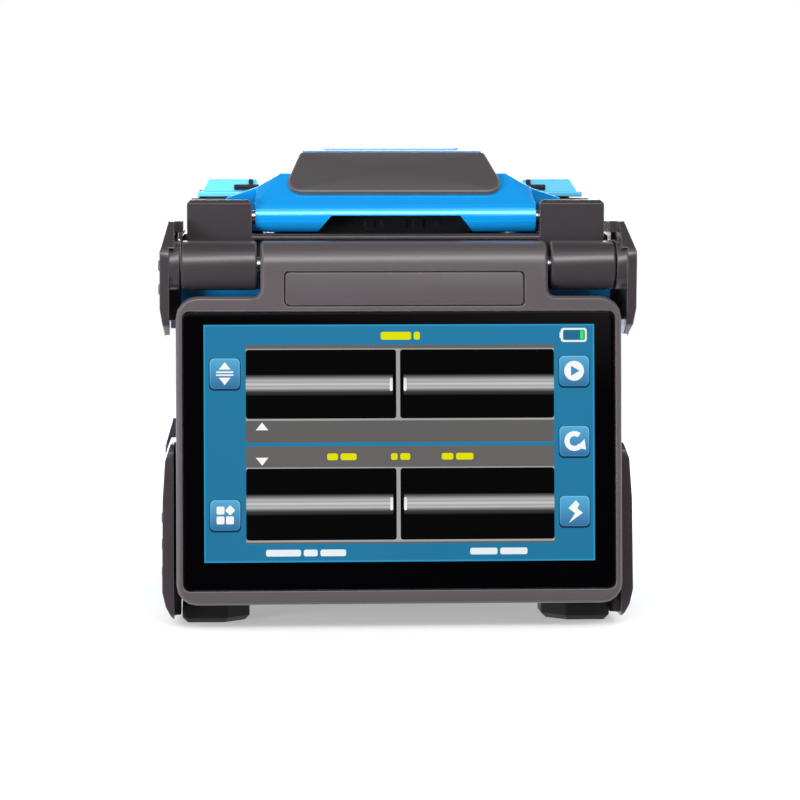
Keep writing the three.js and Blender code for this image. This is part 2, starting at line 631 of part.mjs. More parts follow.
// Sleeve heater
function heaterHousing() {
  const { front, half, top, bottom, troughFront, troughRear, axisY, axisZ, pin } = heater;
  const tray = join(
    block(-46.6, 46.6, front, 43.6, bottom, deckTop + 0.2),
    block(-half, half, front, 43.6, deckTop + 0.1, top),
    block(-half, half, 43, heater.rear, deckTop + 0.1, 110.4),
  );
  const trough = block(-60, 60, troughFront, troughRear, 105.6, 120);
  const lugs = [-1, 1].map((side) => prismX(outline([
    [44.2, 110], [heater.rear, 110], [axisY + 1.8, axisZ + 1.5, 1.2], [axisY - 1.8, axisZ + 1.5, 1.2],
  ]), ...[side * (heater.clampOuter + 0.4), side * half].sort((a, b) => a - b)));
  return join(cut(tray, trough), ...lugs, rodX(axisY, axisZ, pin, -half + 0.5, half - 0.5, 12));
}

function heaterPlate() {
  const { troughFront, troughRear } = heater;
  return block(-33, 33, troughFront + 0.2, troughRear - 0.2, 105.7, 107.1);
}

function heaterFlap(x0, x1) {
  const { front, lidTop, top, axisY, axisZ, barrel, bore } = heater;
  const flap = prismZ(rectangle(x0, x1, front + 0.4, 43.4, 1), top + GAP, lidTop, 0.3);
  const arm = block(x0 + 1, x1 - 1, 42.4, axisY, top + GAP, 113.3);
  const knuckleRod = rodX(axisY, axisZ, barrel, x0 + 1, x1 - 1, 16);
  return cut(join(flap, arm, knuckleRod), rodX(axisY, axisZ, bore, -60, 60, 12));
}

// Inside the case
function batteryBay() {
  const wall = 1.6;
  const { half, front, bottom, top } = battery;
  const [x, y0, y1] = [half + 0.8, front - 0.8, caseRear - caseWall - 0.2];
  return cut(
    block(-x - wall, x + wall, y0 - wall, y1, bottom - 0.6 - wall, top + 0.6 + wall),
    block(-x, x, y0, y1 + 5, bottom - 0.6, top + 0.6),
  );
}

function batteryPack() {
  const { half, front, bottom, top, faceHalf, faceBottom, faceTop, faceRear } = battery;
  const cells = block(-half, half, front, caseRear + 1, bottom, top);
  const faceOutline = rectangle(-faceHalf, faceHalf, faceBottom, faceTop, 4);
  const recessOutline = rectangle(-14, 14, faceBottom + 6, faceTop - 10, 3);
  const tabOutline = rectangle(-9.4, 9.4, faceTop - 9.4, faceTop - 0.9, 1);
  return cut(
    join(cells, prismY(faceOutline, caseRear + 0.2, faceRear, 0.8)),
    prismY(recessOutline, faceRear - 2, faceRear + 1),
    prismY(tabOutline, faceRear - 1.8, faceRear + 1),
  );
}

function batteryTab() {
  const { faceTop, faceRear } = battery;
  const [low, high] = [faceTop - 9, faceTop - 4.2];
  const tab = prismY(rectangle(-9, 9, low, high, 0.8), faceRear - 1.5, faceRear + 0.6, 0.3);
  const grips = [0.9, 2.1, 3.3].map((rise) => (
    block(-6, 6, faceRear + 0.3, faceRear + 1, low + rise, low + rise + 0.6)));
  return join(tab, ...grips);
}

function mainBoard() {
  const board = block(-46, 46, -50, 12, 60, 61.6);
  const chips = [[-20, -30, 9, 3], [14, -26, 7, 3], [32, -6, 6, 6], [-36, 0, 8, 8], [8, -2, 5, 3]];
  return join(board, ...chips.map(([x, y, half, tall]) => (
    block(x - half, x + half, y - half, y + half, 61.5, 61.6 + tall))));
}

function arcTransformer() {
  const core = prismZ(rectangle(22, 50, -48, -24, 2), 72, 92);
  return join(core, rodZ(29, -36, 3, 70, 73, 16), rodZ(43, -36, 3, 70, 73, 16));
}

function sidePortPanel() {
  const { front, rear, bottom, top, thick } = portPanel;
  const inner = caseHalfWidth + 0.1;
  const face = prismX(rectangle(front, rear, bottom, top, 3), inner, inner + thick, 0.5);
  const boss = block(
    caseHalfWidth - 9, inner + 0.2, front + 2 + GAP, rear - 2 - GAP, bottom + 2 + GAP, top - 2 - GAP,
  );
  const keyHole = rodX(powerKey.y, powerKey.z, powerKey.radius + GAP, 40, 70, 28);
  const usb = block(53, 70, 0, 13.2, 69, 74.6);
  const miniUsb = block(53, 70, 1.6, 10.8, 60, 64.4);
  const jack = cut(rodX(19, 63, 3.4, 53, 70, 24), rodX(19, 63, 1, 50, caseHalfWidth, 12));
  return cut(join(face, boss), keyHole, usb, miniUsb, jack);
}

function powerButton() {
  const { y, z, radius } = powerKey;
  const out = caseHalfWidth + portPanel.thick + 0.9;
  return join(
    prismX(circle(y, z, radius, 28), caseHalfWidth - 4, out, 0.4),
    rodX(y, z, radius + 1.1, caseHalfWidth - 12, caseHalfWidth - 10.4, 28),
    rodX(y, z, 3, caseHalfWidth - 11, caseHalfWidth - 3, 20),
  );
}

// Assembly
const sides = { left: -1, right: 1 };
const ends = { front: -1, rear: 1 };

add('body_shell', bodyShell(), finishes.blueAluminium);
add('base_plate', basePlate(), finishes.graphite);
add('top_deck', topDeck(), finishes.graphite);
add('status_strip', statusStrip(), finishes.black);

for (const [sideName, side] of Object.entries(sides)) {
  add(`guard_front_upper_${sideName}`, onSide(frontUpperGuard(), side), finishes.graphite);
  add(`guard_front_lower_${sideName}`, onSide(frontLowerGuard(), side), finishes.graphite);
  add(`guard_rear_upper_${sideName}`, onSide(rearGuard(78, 107.6, [98, 91.5]), side), finishes.graphite);
  add(`guard_rear_lower_${sideName}`, onSide(rearGuard(2, 50.5, [28, 20.5, 13]), side), finishes.graphite);
  for (const [endName, end] of Object.entries(ends)) {
    add(`foot_${endName}_${sideName}`, foot(side, end), finishes.rubber);
  }
  const knuckleEnds = side < 0 ? knuckleLeft : knuckleRight;
  add(`hinge_knuckle_${sideName}`, boredKnuckle(knuckleEnds, side), finishes.graphite);
  add(`monitor_pin_${sideName}`, monitorPin(side), finishes.steel);
  add(`cover_pin_${sideName}`, coverHingePin(side), finishes.steel);
  add(`v_groove_${sideName}`, vGroove(side), finishes.ceramic);
  add(`fiber_clamp_${sideName}`, fibreClampArm(side), finishes.ceramic);
  add(`feed_carriage_${sideName}`, feedCarriage(side), finishes.satinGray);
  add(`sheath_clamp_lid_${sideName}`, sheathClampLid(side), finishes.paleBlue);
}

for (const [endName, end] of Object.entries(ends)) {
  add(`electrode_${endName}`, electrode(end), finishes.steel);
  add(`electrode_holder_${endName}`, electrodeHolder(end), finishes.black);
  add(`microscope_${endName}`, microscope(end), finishes.black);
  add(`led_lamp_${endName}`, ledLamp(end), finishes.white);
}

add('splice_bench', spliceBench(), finishes.satinGray);
add('wind_cover_shell', windCoverShell(), finishes.blueAluminium);
add('wind_cover_grip_plate', windCoverGripPlate(), finishes.satinGray);
add('wind_cover_top_plate', windCoverTopPlate(), finishes.white);
add('wind_cover_liner', windCoverLiner(), finishes.black);

add('heater_housing', heaterHousing(), finishes.graphite);
add('heater_plate', heaterPlate(), finishes.ceramic);
add('heater_lid', heaterFlap(-heater.lidHalf, heater.lidHalf), finishes.paleBlue);
add('heater_clamp_left', heaterFlap(-heater.clampOuter, -heater.lidHalf - 0.6), finishes.graphite);
add('heater_clamp_right', heaterFlap(heater.lidHalf + 0.6, heater.clampOuter), finishes.graphite);

add('battery_bay', batteryBay(), finishes.black);
add('battery_pack', batteryPack(), finishes.graphite);
add('battery_tab', batteryTab(), finishes.black);
add('main_board', mainBoard(), finishes.board);
add('arc_transformer', arcTransformer(), finishes.black);
add('port_panel', sidePortPanel(), finishes.graphite);
add('power_key', powerButton(), finishes.black);

const screen = new THREE.Group();
screen.position.set(0, hinge.y, hinge.z);
screen.rotation.x = -monitorTilt;
group.add(screen);
add('monitor_frame', monitorFrame(), finishes.graphite, screen);
add('monitor_rear_shell', monitorRearShell(), finishes.graphite, screen);
add('touch_glass', touchGlass(), finishes.glassBlack, screen);
add('lcd_panel', lcdPanel(), finishes.black, screen);
add('nameplate', namePlate(), finishes.graphite, screen);

export default group;
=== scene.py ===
# %% [markdown]
# # Fiber fusion splicer
# The instrument was designed in CAD: 60 solids on 13 bodies. Here it gets its looks. Each CAD
# solid with the right shape is copied, cleaned and given softly rounded edges, because no moulded or
# milled edge is perfectly sharp. Round and fine pieces are built anew as surfaces worked out with numpy.

# %% Load the frame
import json
import math

import bmesh
import bpy
import numpy as np
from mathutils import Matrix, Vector


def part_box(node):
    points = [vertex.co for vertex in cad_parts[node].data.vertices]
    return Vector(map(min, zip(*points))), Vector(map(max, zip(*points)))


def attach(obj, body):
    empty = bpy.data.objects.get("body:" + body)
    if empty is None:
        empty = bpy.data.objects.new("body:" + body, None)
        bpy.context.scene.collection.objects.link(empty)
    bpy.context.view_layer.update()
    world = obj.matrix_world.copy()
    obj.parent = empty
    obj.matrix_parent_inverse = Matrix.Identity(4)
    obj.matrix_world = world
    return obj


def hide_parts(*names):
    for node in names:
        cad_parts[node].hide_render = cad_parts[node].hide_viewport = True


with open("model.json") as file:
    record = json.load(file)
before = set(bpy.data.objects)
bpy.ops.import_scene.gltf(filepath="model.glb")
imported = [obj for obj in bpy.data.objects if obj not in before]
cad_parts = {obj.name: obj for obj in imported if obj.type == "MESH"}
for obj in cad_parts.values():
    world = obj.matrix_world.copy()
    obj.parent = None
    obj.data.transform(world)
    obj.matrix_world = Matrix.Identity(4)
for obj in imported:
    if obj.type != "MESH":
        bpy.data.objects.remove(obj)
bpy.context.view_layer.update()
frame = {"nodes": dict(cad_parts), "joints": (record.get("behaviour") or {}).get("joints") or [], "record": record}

scene = bpy.context.scene
MM = 0.001
body_of = {node: body for body, nodes in frame["record"]["behaviour"]["bodies"].items() for node in nodes}
slot_of = {part["node"]: part["material_slot"] for part in frame["record"]["subparts"]}
hinge_at = {
    joint["name"]: np.array(joint["pos_m"]) for joint in frame["joints"] if "pos_m" in joint
}

# %% [markdown]
# ## Drawing planes
# Most details lie on a flat side of the object. It is easier to draw them as u to the right, v up and w
# out of the surface, and to turn that small drawing onto its side at the end. A plane is an origin and
# three axes; because u, v, w stay right handed, a surface that points outwards keeps doing so.

# %% Planes
MONITOR_TILT = math.radians(4)


def plane(u_axis, v_axis, origin=(0, 0, 0)):
    """A drawing plane: w is the cross product of u and v, so it points at the person looking at it."""
    u, v = np.array(u_axis, float), np.array(v_axis, float)
    return np.array(origin, float), np.stack([u, v, np.cross(u, v)])


def put(points, where):
    """Drawing coordinates (u, v, w) become x, y, z: origin + u U + v V + w W."""
    origin, axes = where
    return origin + np.asarray(points, float) @ axes


def box_on(node, where):
    """The lowest and highest (u, v, w) of a CAD node, measured on a drawing plane."""
    origin, axes = where
    mesh = frame["nodes"][node].data
    points = np.empty(len(mesh.vertices) * 3)
    mesh.vertices.foreach_get("co", points)
    drawn = (points.reshape(-1, 3) - origin) @ axes.T
    return drawn.min(0), drawn.max(0)


TOP = plane((1, 0, 0), (0, 1, 0))
FRONT = plane((1, 0, 0), (0, 0, 1))
BACK = plane((-1, 0, 0), (0, 0, 1))
RIGHT = plane((0, 1, 0), (0, 0, 1))
leaning = (0, math.sin(MONITOR_TILT), math.cos(MONITOR_TILT))
MONITOR = plane((1, 0, 0), leaning, hinge_at["monitor_hinge"])
print("the glass on the monitor's plane:", *[c.round(4) for c in box_on("touch_glass", MONITOR)])

# %% [markdown]
# ## Shapes worked out as arrays
# Three kinds of surface are enough for the new pieces: a plate with rounded edges (one outline, drawn in
# a little at the top and bottom), a turned piece (a profile carried round an axis) and a flat picture.

# %% Shape helpers
def rounded_rectangle(u0, u1, v0, v1, radius, steps=8):
    """Four quarter circles: corner centre + radius (cos, sin) of an angle that runs once round."""
    quarter = np.linspace(0, np.pi / 2, steps + 1)
    angle = (np.arange(4)[:, None] * np.pi / 2 + quarter).ravel()
    centres = np.array([[u1, v1], [u0, v1], [u0, v0], [u1, v0]]) + radius * np.array(
        [[-1, -1], [1, -1], [1, 1], [-1, 1]]
    )
    around = radius * np.stack([np.cos(angle), np.sin(angle)], 1)
    return np.repeat(centres, steps + 1, axis=0) + around


def skin(rings):
    """Rings (rows, columns, 3) become quads between neighbouring rows and a flat face at each end."""
    rows, columns = rings.shape[:2]
    row, column = np.meshgrid(np.arange(rows - 1), np.arange(columns), indexing="ij")
    right = (column + 1) % columns
    corners = [
        row * columns + column, row * columns + right,
        (row + 1) * columns + right, (row + 1) * columns + column,
    ]
    faces = np.stack(corners, -1).reshape(-1, 4).tolist()
    faces.append(list(range(columns))[::-1])
    faces.append(list(range((rows - 1) * columns, rows * columns)))
    return rings.reshape(-1, 3), faces


def plate(u0, u1, v0, v1, w0, w1, radius, edge, steps=4):
    """A plate whose rims are quarter circles: drawn in by edge (1 - sin t) at height edge (1 - cos t)."""
    t = np.linspace(0, np.pi / 2, steps + 1)
    inset = np.concatenate([edge * (1 - np.sin(t)), edge * (1 - np.sin(t[::-1]))])
    height = np.concatenate([w0 + edge * (1 - np.cos(t)), w1 - edge * (1 - np.cos(t[::-1]))])
    rings = [
        np.column_stack([
            rounded_rectangle(u0 + i, u1 - i, v0 + i, v1 - i, max(radius - i, radius * 0.2)),
            np.full(4 * 9, h),
        ])
        for i, h in zip(inset, height)
    ]
    return skin(np.array(rings))


def turned(profile, sides=48):
    """A profile of (radius, height) turned round w: (r cos a, r sin a, h)."""
    profile = np.array(profile, float)
    angle = np.linspace(0, 2 * np.pi, sides, endpoint=False)
    radius = profile[:, :1] * np.ones_like(angle)
    height = np.broadcast_to(profile[:, 1:], radius.shape)
    return skin(np.stack([radius * np.cos(angle), radius * np.sin(angle), height], -1))


def shade(obj, angle=35):
    """Smooth shading, with an edge kept sharp where two faces meet at more than the angle."""
    obj.data.shade_smooth()
    obj.data.set_sharp_from_angle(angle=math.radians(angle))


def fillet_outline(corners, inset=0.0, steps=6):
    """Corners (u, v, fillet), counter-clockwise. Each fillet's centre stays, its radius loses the inset."""
    corners = np.array(corners, float)
    place, radius = corners[:, :2], corners[:, 2]
    along = np.roll(place, -1, 0) - place
    along /= np.linalg.norm(along, axis=1, keepdims=True)
    facing = np.column_stack([along[:, 1], -along[:, 0]])
    before = np.roll(facing, 1, 0)
    turn = np.arctan2(before[:, 0] * facing[:, 1] - before[:, 1] * facing[:, 0], (before * facing).sum(1))
    middle = (before + facing) / np.linalg.norm(before + facing, axis=1, keepdims=True)
    centre = place - middle * (radius / np.cos(turn / 2))[:, None]
    start = np.arctan2(before[:, 1], before[:, 0])
    angle = start[:, None] + turn[:, None] * np.linspace(0, 1, steps + 1)
    ring = np.stack([np.cos(angle), np.sin(angle)], -1) * (radius - inset)[:, None, None]
    return (centre[:, None] + ring).reshape(-1, 2)


def make(name, shape, material, body, replaces=(), angle=35):
    """A shape in metres becomes an object that rides on a body and stands for the CAD nodes it replaces."""
    points, faces = shape
    mesh = bpy.data.meshes.new(name)
    mesh.from_pydata(np.asarray(points).tolist(), [], faces)
    mesh.validate()
    mesh.update()
    piece = bpy.data.objects.new(name, mesh)
    scene.collection.objects.link(piece)
    mesh.materials.append(material)
    shade(piece, angle)
    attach(piece, body)
    if replaces:
        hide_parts(*replaces)
    return piece


def on(where, shape, at=(0, 0, 0)):
    """A shape drawn in millimetres round its own origin, moved to (u, v, w) in metres on a plane."""
    points, faces = shape
    return put(np.asarray(points) * MM + np.array(at), where), faces


print("a 10 mm test plate has", len(plate(0, 10, 0, 10, 0, 2, 2, 0.5)[1]), "faces")

# %% [markdown]
# ## Effects that several finishes share
# Moulded plastic, anodised metal and rubber differ in numbers more than in kind. Each shared effect is a
# node group: fine grain for the relief, handling marks for the gloss, and worn edges, where the surface
# normal and a slightly rounded normal disagree. They put out values only; the shader stays outside.

# %% Node groups
def new_group(name, inputs, outputs):
    """A shader node group with number inputs and outputs, and its two end nodes."""
    group = bpy.data.node_groups.new(name, "ShaderNodeTree")
    for label, default in inputs.items():
        socket = group.interface.new_socket(label, in_out="INPUT", socket_type="NodeSocketFloat")
        socket.default_value = default
    for label in outputs:
        group.interface.new_socket(label, in_out="OUTPUT", socket_type="NodeSocketFloat")
    return group, group.nodes.new("NodeGroupInput"), group.nodes.new("NodeGroupOutput")


def math_node(tree, operation, first, second):
    """One Math node; each operand is a number or a socket."""
    node = tree.nodes.new("ShaderNodeMath")
    node.operation = operation
    for socket, value in zip(node.inputs, (first, second)):
        if isinstance(value, (int, float)):
            socket.default_value = value
        else:
            tree.links.new(value, socket)
    return node.outputs[0]


def noise(tree, vector, scale, detail=2.0):
    """A noise texture on the given coordinates; scale is a number or a socket."""
    node = tree.nodes.new("ShaderNodeTexNoise")
    node.inputs["Detail"].default_value = detail
    tree.links.new(vector, node.inputs["Vector"])
    if isinstance(scale, (int, float)):
        node.inputs["Scale"].default_value = scale
    else:
        tree.links.new(scale, node.inputs["Scale"])
    return node.outputs[0]


def grain_group():
    """Relief of a spark-eroded mould or a bead-blasted face: cell distance plus fine noise, 0 to 1."""
    group, given, out = new_group("fine_grain", {"Size": 0.3}, ["Height", "Speckle"])
    place = group.nodes.new("ShaderNodeTexCoord").outputs["Object"]
    scale = math_node(group, "DIVIDE", 1000.0, given.outputs["Size"])
    cells = group.nodes.new("ShaderNodeTexVoronoi")
    group.links.new(place, cells.inputs["Vector"])
    group.links.new(scale, cells.inputs["Scale"])
    fine = noise(group, place, scale, 3.0)
    half = math_node(group, "MULTIPLY", cells.outputs["Distance"], 0.5)
    group.links.new(math_node(group, "ADD", half, fine), out.inputs["Height"])
    group.links.new(fine, out.inputs["Speckle"])
    return group


def handling_group():
    """Where hands and cloths have been: broad soft patches crossed by finer ones, 0 to 1."""
    group, given, out = new_group("handling_marks", {"Size": 30.0}, ["Patches", "Smears"])
    place = group.nodes.new("ShaderNodeTexCoord").outputs["Object"]
    scale = math_node(group, "DIVIDE", 1000.0, given.outputs["Size"])
    broad = noise(group, place, scale, 4.0)
    fine = noise(group, place, math_node(group, "MULTIPLY", scale, 3.5), 5.0)
    group.links.new(broad, out.inputs["Patches"])
    group.links.new(fine, out.inputs["Smears"])
    return group


def wear_group():
    """1 on a rubbed edge, 0 on a flat face: 1 - (normal . rounded normal), broken up by noise."""
    group, given, out = new_group("worn_edges", {"Radius": 0.5, "Amount": 1.0}, ["Mask"])
    surface = group.nodes.new("ShaderNodeNewGeometry")
    rounded = group.nodes.new("ShaderNodeBevel")
    rounded.samples = 4
    group.links.new(math_node(group, "MULTIPLY", given.outputs["Radius"], MM), rounded.inputs["Radius"])
    dot = group.nodes.new("ShaderNodeVectorMath")
    dot.operation = "DOT_PRODUCT"
    group.links.new(surface.outputs["Normal"], dot.inputs[0])
    group.links.new(rounded.outputs["Normal"], dot.inputs[1])
    bend = math_node(group, "MULTIPLY", math_node(group, "SUBTRACT", 1.0, dot.outputs["Value"]), 9.0)
    place = group.nodes.new("ShaderNodeTexCoord").outputs["Object"]
    broken = math_node(group, "MULTIPLY", bend, noise(group, place, 600.0, 3.0))
    mask = math_node(group, "MULTIPLY", broken, given.outputs["Amount"])
    clamp = group.nodes.new("ShaderNodeClamp")
    group.links.new(mask, clamp.inputs["Value"])
    group.links.new(clamp.outputs[0], out.inputs["Mask"])
    return group


GRAIN, HANDLING, WEAR = grain_group(), handling_group(), wear_group()
print("shared effects:", GRAIN.name, HANDLING.name, WEAR.name)

# %% [markdown]
# ## One recipe for a finish
# A finish is a colour, a gloss and a relief. Colour varies by a few per cent with the grain and the
# handling marks and turns to a second colour on worn edges; roughness follows the handling marks.

# %% The recipe
def linear(text):
    """A colour written as on a paint card, rrggbb, as linear light: ((c + 0.055) / 1.055) ^ 2.4."""
    card = np.array([int(text[k:k + 2], 16) for k in (0, 2, 4)]) / 255
    light = np.where(card <= 0.04045, card / 12.92, ((card + 0.055) / 1.055) ** 2.4)
    return (*light.tolist(), 1.0)


def use(tree, group, **values):
    """Places a shared effect in a material with its own values."""
    node = tree.nodes.new("ShaderNodeGroup")
    node.node_tree = group
    for label, value in values.items():
        node.inputs[label].default_value = value
    return node.outputs


def blend_colour(tree, share, first, second):
    """A colour Mix node; share, first and second are sockets or values."""
    node = tree.nodes.new("ShaderNodeMix")
    node.data_type = "RGBA"
    for socket, value in zip((node.inputs[0], node.inputs[6], node.inputs[7]), (share, first, second)):
        if isinstance(value, bpy.types.NodeSocket):
            tree.links.new(value, socket)
        else:
            socket.default_value = value
    return node.outputs[2]


def stretch_to(tree, value, low, high):
    """Maps 0..1 to low..high without clamping."""
    node = tree.nodes.new("ShaderNodeMapRange")
    node.clamp = False
    tree.links.new(value, node.inputs["Value"])
    node.inputs["To Min"].default_value = low
    node.inputs["To Max"].default_value = high
    return node.outputs[0]


def finish(name, colour, rough, metal=0.0, coat=0.0, grain=0.3, depth=6.0, uneven=0.12, worn=None,
           wear=0.5, coat_rough=0.05, specular=0.5, tint=0.8):
    """A finish: grain size in mm, relief depth in micrometres, uneven gloss, colour of worn edges."""
    material = bpy.data.materials.new(name)
    material.use_nodes = True
    tree = material.node_tree
    shader = tree.nodes["Principled BSDF"]
    relief = use(tree, GRAIN, Size=grain)
    marks = use(tree, HANDLING, Size=28.0)
    base = linear(colour)
    darker = tuple(c * tint for c in base[:3]) + (1.0,)
    tone = math_node(tree, "MULTIPLY", marks["Patches"], relief["Speckle"])
    shown = blend_colour(tree, stretch_to(tree, tone, -0.2, 1.6), base, darker)
    if worn:
        mask = use(tree, WEAR, Radius=0.5, Amount=wear)["Mask"]
        shown = blend_colour(tree, mask, shown, linear(worn))
    tree.links.new(shown, shader.inputs["Base Color"])
    gloss = stretch_to(tree, marks["Smears"], rough - uneven * 0.5, rough + uneven * 0.5)
    tree.links.new(gloss, shader.inputs["Roughness"])
    bump = tree.nodes.new("ShaderNodeBump")
    bump.inputs["Distance"].default_value = depth * 1e-6
    tree.links.new(relief["Height"], bump.inputs["Height"])
    tree.links.new(bump.outputs[0], shader.inputs["Normal"])
    shader.inputs["Metallic"].default_value = metal
    shader.inputs["Coat Weight"].default_value = coat
    shader.inputs["Coat Roughness"].default_value = coat_rough
    shader.inputs["Specular IOR Level"].default_value = specular
    return material


FINISHES = {
    "graphite_plastic": finish("graphite_plastic", "353033", 0.25, grain=0.25, depth=2.5, uneven=0.07,
                               worn="8d878b", wear=0.3, specular=0.6),
    "blue_aluminium": finish("blue_aluminium", "06a0f4", 0.22, metal=0.35, coat=1.0, grain=0.12, depth=0.4,
                             uneven=0.04, worn="8ed6fa", wear=0.15, tint=0.94),
    "pale_blue": finish("pale_blue", "62ccf6", 0.24, metal=0.1, coat=0.9, grain=0.12, depth=0.4,
                        uneven=0.04, worn="d8f4ff", wear=0.2, tint=0.95),
    "satin_gray": finish("satin_gray", "55514f", 0.36, metal=0.5, grain=0.15, depth=2, worn="a8a6a8"),
    "black_plastic": finish("black_plastic", "161618", 0.4, grain=0.2, depth=4, worn="36363a"),
    "screen_glass": finish("screen_glass", "020203", 0.06, grain=2.0, depth=0.02, uneven=0.04,
                           specular=0.1),
    "rubber": finish("rubber", "1d1b1d", 0.72, grain=0.35, depth=14, worn="3a373a"),
    "steel": finish("steel", "c6c6ca", 0.22, metal=1.0, grain=0.08, depth=0.6, uneven=0.12),
    "ceramic": finish("ceramic", "ece8df", 0.38, grain=0.1, depth=1.5, uneven=0.1),
    "circuit_board": finish("circuit_board", "17663a", 0.35, coat=0.3, grain=0.6, depth=9),
    "white_plate": finish("white_plate", "e6f5fb", 0.25, coat=0.5, grain=0.2, depth=0.8, worn="ffffff"),
}
print("finishes:", ", ".join(FINISHES))

# %% [markdown]
# ## Copies with soft edges
# A CAD solid arrives as loose triangles with knife-sharp edges. The copy is welded, and flat neighbours are
# joined into whole faces to measure how much room each sharp edge has beside it. A Bevel then rounds every
# sharp edge, by less where a face is narrow, so that no rounding runs into the next. The faces are cut into
# triangles first, because a Bevel can fold a large face with holes in it over itself. Weighted normals keep
# the big faces flat, so the light only bends on the rounded edges.

# %% Room for a rounded edge
def room_beside(edge, faces):
    """The least width of the two faces beside an edge, measured square to it at five places along it."""
    start, end = (corner.co for corner in edge.verts)
    along = (end - start).normalized()
    least = 1.0
    for face in faces:
        inward = face.normal.cross(along)
        for share in (0.04, 0.25, 0.5, 0.75, 0.96):
            here = start.lerp(end, share)
            for other in face.edges:
                a, b = (corner.co - here for corner in other.verts)
                x0, x1 = a.dot(along), b.dot(along)
                if other is edge or x0 * x1 > 0 or abs(x1 - x0) < 1e-9:
                    continue
                across = abs(a.lerp(b, x0 / (x0 - x1)).dot(inward))
                if across > 1e-7:
                    least = min(least, across)
    return least


def edge_weights(work, width, angle):
    """Each sharp edge's share of the full width: 1, or less where a face beside it is narrow."""
    layer = work.edges.layers.float.new("bevel_weight_edge")
    for edge in work.edges:
        faces = edge.link_faces
        if len(faces) == 2 and edge.calc_face_angle(0) > angle:
            edge[layer] = min(1.0, max(0.03, 0.42 * room_beside(edge, faces) / width))


# %% Soften a node
def softened(node, width, segments=3, angle=20):
    """A welded copy of a CAD node with its edges rounded to width, in millimetres. It replaces the node."""
    source = frame["nodes"][node].data
    points = np.empty(len(source.vertices) * 3)
    source.vertices.foreach_get("co", points)
    source.calc_loop_triangles()
    corners = np.empty(len(source.loop_triangles) * 3, int)
    source.loop_triangles.foreach_get("vertices", corners)
    name = node + "_finished"
    mesh = bpy.data.meshes.new(name)
    mesh.from_pydata(points.reshape(-1, 3).tolist(), [], corners.reshape(-1, 3).tolist())
    work = bmesh.new()
    work.from_mesh(mesh)
    bmesh.ops.remove_doubles(work, verts=work.verts, dist=2e-5)
    bmesh.ops.dissolve_limit(work, angle_limit=math.radians(1.0), verts=work.verts, edges=work.edges)
    edge_weights(work, width * MM, math.radians(angle))
    bmesh.ops.triangulate(work, faces=work.faces, quad_method="BEAUTY", ngon_method="BEAUTY")
    work.to_mesh(mesh)
    work.free()
    piece = bpy.data.objects.new(name, mesh)
    scene.collection.objects.link(piece)
    mesh.materials.append(OWN_FINISH.get(node, FINISHES[slot_of[node]]))
    mesh.shade_smooth()
    bevel = piece.modifiers.new("rounded_edges", "BEVEL")
    bevel.width = width * MM
    bevel.segments = segments
    bevel.limit_method = "WEIGHT"
    bevel.use_clamp_overlap = False
    bevel.miter_outer = "MITER_ARC"
    flat = piece.modifiers.new("flat_faces", "WEIGHTED_NORMAL")
    flat.keep_sharp = True
    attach(piece, body_of[node])
    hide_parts(node)
    return piece


OWN_FINISH = {
    "monitor_frame": finish("frame_plastic", "484245", 0.3, grain=0.25, depth=2.5, uneven=0.06,
                            worn="9d979b", wear=0.3, specular=0.6),
}
EDGE_WIDTHS = {
    0.35: ["body_shell", "monitor_rear_shell", "battery_pack"],
    0.25: ["base_plate", "top_deck", "monitor_frame", "hinge_knuckle_left", "hinge_knuckle_right",
           "port_panel"],
    0.2: ["wind_cover_shell", "heater_housing", "heater_lid", "heater_clamp_left",
          "heater_clamp_right", "splice_bench", "electrode_holder_front",
          "electrode_holder_rear", "wind_cover_liner", "feed_carriage_left",
          "feed_carriage_right", "sheath_clamp_lid_left", "sheath_clamp_lid_right", "wind_cover_top_plate",
          "battery_bay"],
    0.1: ["v_groove_left", "v_groove_right", "fiber_clamp_left", "fiber_clamp_right", "status_strip",
          "heater_plate", "battery_tab", "arc_transformer", "main_board", "lcd_panel"],
}
for width, nodes in EDGE_WIDTHS.items():
    for node in nodes:
        softened(node, width)
for node in sorted(frame["nodes"]):
    if node.startswith("guard_"):
        softened(node, 0.25)
    if node.startswith("foot_"):
        softened(node, 0.6, segments=4)

# %% [markdown]
# ## The grip plate
# The long plate on the front slope of the wind cover is where two thumbs lift it. It is a moulding with a
# slightly domed face, so it shades from dark to light down its slope, which a flat plate would not do.

# %% Grip plate
SLOPE = math.radians(38.4)
SLOPE_PLANE = plane((1, 0, 0), (0, math.cos(SLOPE), math.sin(SLOPE)))
low, high = (corner / MM for corner in box_on("wind_cover_grip_plate", SLOPE_PLANE))
GRIP_LENGTH = high[1] - low[1]
GRIP = [(-29.8, 0, 4), (29.8, 0, 4), (29.8, 6.4, 2.6), (26.2, GRIP_LENGTH, 1.7), (-26.2, GRIP_LENGTH, 1.7),
        (-29.8, 6.4, 2.6)]


def domed_plate(corners, w0, w1, edge, dome):
    """A quarter-round rim, inside which the outline shrinks to its middle under a parabola."""
    t = np.linspace(0, np.pi / 2, 6)
    shoulder = w1 - dome
    rim = [(0.0, w0)] + list(zip(edge * (1 - np.cos(t)), shoulder - edge * (1 - np.sin(t))))
    rings = [np.column_stack([fillet_outline(corners, i), np.full(7 * len(corners), h)]) for i, h in rim]
    last = rings[-1]
    middle = last.mean(0)
    for share in np.linspace(1, 0, 13)[1:-1]:
        ring = middle + (last - middle) * share
        ring[:, 2] = shoulder + dome * (1 - share ** 2)
        rings.append(ring)
    return skin(np.array(rings))


